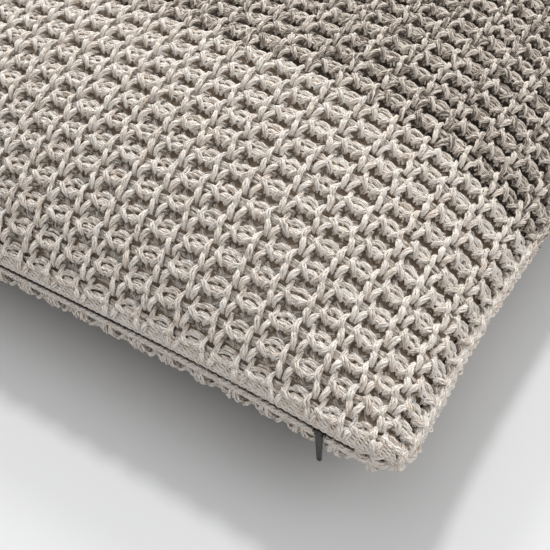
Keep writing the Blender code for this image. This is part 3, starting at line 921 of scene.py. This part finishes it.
def swollen(points, faces, rim):
    """The casing blown out by its filling: cloth under pressure, its sewn rim held, its travel capped."""
    blank = bpy.data.materials.new("cloth blank")
    pillow = mesh_piece("casing_blank", points, faces, blank)
    held = pillow.vertex_groups.new(name="rim")
    held.add([int(k) for k in rim], 1.0, "REPLACE")
    cloth = pillow.modifiers.new("cloth", "CLOTH")
    settings = cloth.settings
    settings.use_pressure = True
    settings.uniform_pressure_force = PRESSURE
    settings.effector_weights.gravity = 0.0
    settings.vertex_group_mass = "rim"
    settings.shrink_min = -0.05
    settings.quality = 6
    scene = bpy.context.scene
    for number in range(1, CLOTH_FRAMES + 1):
        scene.frame_set(number)
    evaluated = pillow.evaluated_get(bpy.context.evaluated_depsgraph_get())
    moved = np.zeros(len(points) * 3, np.float32)
    evaluated.data.vertices.foreach_get("co", moved)
    scene.frame_set(1)
    mesh = pillow.data
    bpy.data.objects.remove(pillow)
    bpy.data.meshes.remove(mesh)
    bpy.data.materials.remove(blank)
    step = moved.reshape(-1, 3) - points
    length = np.linalg.norm(step, axis=1, keepdims=True)
    step *= np.minimum(1, SWELL_CAP / np.maximum(length, 1e-9))
    result = points + step
    result[:, 2] = np.maximum(result[:, 2], INSERT_FLOOR - FLOOR_SAG)
    return result


def subdivided(piece):
    """The piece with one smooth subdivision."""
    modifier = piece.modifiers.new("smooth", "SUBSURF")
    modifier.levels = 1
    modifier.render_levels = 1
    return piece


def vertex_normals(points, faces):
    """Unit normals at the points of a mesh of four-sided faces."""
    corner = points[faces]
    normal = np.cross(corner[:, 2] - corner[:, 0], corner[:, 3] - corner[:, 1])
    total = np.zeros_like(points)
    for k in range(4):
        np.add.at(total, faces[:, k], normal)
    return total / (np.linalg.norm(total, axis=1, keepdims=True) + 1e-12)


def part_of(points, faces):
    """Only the points that some faces use, with the faces renumbered."""
    used, numbers = np.unique(faces, return_inverse=True)
    return points[used], numbers.reshape(faces.shape)


def insert_pieces():
    """The two casing faces, and the filling just inside them."""
    points, faces, is_front, rim_index = insert_shape()
    rim = np.unique(np.concatenate([rim_index[0], rim_index[-1], rim_index[:, 0], rim_index[:, -1]]))
    casing = swollen(points, faces, rim)
    for side, chosen in (("front", is_front), ("back", ~is_front)):
        piece = subdivided(mesh_piece(f"casing_{side}_cloth", *part_of(casing, faces[chosen]), CASING))
        own(piece, "casing_cotton", f"insert_casing_{side}")
    rng = np.random.default_rng(FILLING_SEED)
    inward = FILLING_DEPTH + FILLING_LUMPS * rng.random((len(casing), 1))
    filling = casing - vertex_normals(casing, faces) * inward
    piece = subdivided(mesh_piece("filling_fibre", filling, faces, FIBRE))
    own(piece, "fill_fibre", "insert_filling")


insert_pieces()


def overcast_piece():
    """The whip stitch that closes the insert: one thread winding round the two joined edges."""
    corners = [np.array(corner) for corner in ((-1, -1), (-1, 1), (1, 1), (1, -1), OVERCAST_END)]
    places = np.concatenate([np.linspace(a, b, SIDE_STEPS)[:-1] for a, b in zip(corners[:-1], corners[1:])])
    rim = cover_points(places[:, 0], places[:, 1], 0.0, 0, INSERT_HALF + OVERCAST_PROUD)
    path = even_path(rim, OVERCAST_STEP)
    outward = level_outward(path)
    turns = len(path) * OVERCAST_STEP / OVERCAST_PITCH
    angle = np.linspace(0, turns * 2 * np.pi, len(path))[:, None]
    normal = outward * np.cos(angle) + UP * np.sin(angle)
    line = path + normal * OVERCAST_REACH
    verts, faces, uv = tubes(line[None], normal[None], np.full((1, len(path)), OVERCAST_RADIUS), PLY_SIDES)
    own(mesh_piece("edge_overcast", verts, faces, THREAD, uv), "sewing_thread", "insert_edge_thread")


overcast_piece()


# ---------------------------------------------------------------- loose fibres

FUZZ_SEGMENTS = 4
FUZZ_SIDES = 3
FUZZ_RADIUS = 0.000045
FUZZ_ROOT = (0.0010, 0.0034)
FUZZ_LENGTH = (0.0015, 0.0045)
FUZZ_LIFT = 0.35
FUZZ_BEND = 0.5
FUZZ_PAST = 0.2
FUZZ_FLOOR = 0.0004


def fuzz_piece(face, label, light, count, seed):
    """Fine ends standing out of the yarn."""
    rng = np.random.default_rng(seed)
    low, high = (0, LIGHT_COURSES) if light else (LIGHT_COURSES, COURSES)
    s = rng.uniform(-FUZZ_PAST, RIBS + FUZZ_PAST, (count, 1))
    t = rng.uniform(low, high, (count, 1))
    root, normal = face.place(s, t, rng.uniform(*FUZZ_ROOT, (count, 1)))
    way = rng.normal(0, 1, (count, 1, 3)) + normal * FUZZ_LIFT
    way /= np.linalg.norm(way, axis=-1, keepdims=True)
    bend = rng.normal(0, FUZZ_BEND, (count, 1, 3))
    length = rng.uniform(*FUZZ_LENGTH, (count, 1, 1))
    at = np.linspace(0, 1, FUZZ_SEGMENTS + 1)[None, :, None]
    line = root + way * length * at + bend * length * at ** 2
    line[..., 2] = np.maximum(line[..., 2], FUZZ_FLOOR)
    radii = FUZZ_RADIUS * np.linspace(1.2, 0.5, FUZZ_SEGMENTS + 1)[None] + 0 * line[..., 0]
    verts, faces, uv = tubes(line, np.broadcast_to(normal, line.shape), radii, FUZZ_SIDES)
    tone = np.repeat(rng.uniform(0.3, 1, count), (FUZZ_SEGMENTS + 1) * FUZZ_SIDES)
    colour, material = YARNS[light]
    own(mesh_piece(f"{label}_fibres_{colour}", verts, faces, material, uv, tone), f"{colour}_yarn")


fuzz_piece(front, "front", True, 6000, 701)
fuzz_piece(front, "front", False, 7800, 702)


# ---------------------------------------------------------------- stage, light and camera

FLOOR_SIZE = 30
FLOOR_DROP = 0.0005
FLOOR_COLOUR = (0.66, 0.663, 0.668)


def make_stage():
    """A plain pale floor."""
    bpy.ops.mesh.primitive_plane_add(size=FLOOR_SIZE, location=(0, 0, -FLOOR_DROP))
    floor = bpy.context.object
    floor.name = "floor"
    material = bpy.data.materials.new("pale floor")
    material.use_nodes = True
    shader = material.node_tree.nodes["Principled BSDF"]
    shader.inputs["Base Color"].default_value = (*FLOOR_COLOUR, 1)
    shader.inputs["Roughness"].default_value = 0.75
    floor.data.materials.append(material)


def area_light(name, place, target, size, power):
    """A round white light at a place, turned to its target."""
    data = bpy.data.lights.new(name, "AREA")
    data.shape = "DISK"
    data.size = size
    data.energy = power
    light = bpy.data.objects.new(name, data)
    bpy.context.scene.collection.objects.link(light)
    light.location = place
    light.rotation_euler = (Vector(target) - Vector(place)).to_track_quat("-Z", "Y").to_euler()


# The height on the sky, from 0 at the horizon to 1, from which it is at its brightest.
OVERHEAD = 0.9


def make_world(low, high):
    """Soft studio surroundings, brighter overhead than at the sides."""
    world = bpy.data.worlds.new("studio")
    world.use_nodes = True
    nodes, links = world.node_tree.nodes, world.node_tree.links
    coords = nodes.new("ShaderNodeTexCoord")
    split = nodes.new("ShaderNodeSeparateXYZ")
    links.new(coords.outputs["Generated"], split.inputs[0])
    spread = nodes.new("ShaderNodeMapRange")
    spread.inputs["From Min"].default_value = 0.0
    spread.inputs["From Max"].default_value = OVERHEAD
    spread.inputs["To Min"].default_value = low
    spread.inputs["To Max"].default_value = high
    links.new(split.outputs["Z"], spread.inputs["Value"])
    links.new(spread.outputs["Result"], nodes["Background"].inputs["Strength"])
    nodes["Background"].inputs["Color"].default_value = (1.0, 1.0, 1.0, 1)
    bpy.context.scene.world = world


CAMERA_AZIMUTH = math.radians(-54.5)
CAMERA_ELEVATION = math.radians(42.7)
CAMERA_ROLL = math.radians(-2.8)
CAMERA_DISTANCE = 0.4175
CAMERA_TARGET = Vector((0.1467, COVER_Y - 0.1758, SEAM_HEIGHT + 0.0024))
CAMERA_LENS = 62.2
SENSOR = 36.0


def make_camera():
    """The camera, set by its angles round the target near the corner."""
    data = bpy.data.cameras.new("camera")
    data.sensor_width = SENSOR
    data.lens = CAMERA_LENS
    data.clip_start = 0.01
    camera = bpy.data.objects.new("camera", data)
    bpy.context.scene.collection.objects.link(camera)
    level = math.cos(CAMERA_ELEVATION)
    outward = Vector((level * math.cos(CAMERA_AZIMUTH), level * math.sin(CAMERA_AZIMUTH),
                      math.sin(CAMERA_ELEVATION)))
    right = Vector((0, 0, 1)).cross(outward).normalized()
    up = outward.cross(right)
    turned_right = right * math.cos(CAMERA_ROLL) + up * math.sin(CAMERA_ROLL)
    turned_up = up * math.cos(CAMERA_ROLL) - right * math.sin(CAMERA_ROLL)
    axes = Matrix((turned_right, turned_up, outward)).transposed().to_4x4()
    camera.matrix_world = Matrix.Translation(CAMERA_TARGET + outward * CAMERA_DISTANCE) @ axes
    bpy.context.scene.camera = camera


make_stage()
area_light("key", (-0.42, 0.94, 1.61), (0.05, -0.05, 0.05), 0.28, 20)
area_light("low key", (-0.90, 1.22, 1.11), (0.05, -0.05, 0.05), 0.28, 15)
area_light("right fill", (1.3, 0.15, 0.95), (0.2, -0.1, 0.0), 0.9, 6)
make_world(0.18, 0.84)
bpy.context.scene.view_settings.view_transform = "Standard"
make_camera()
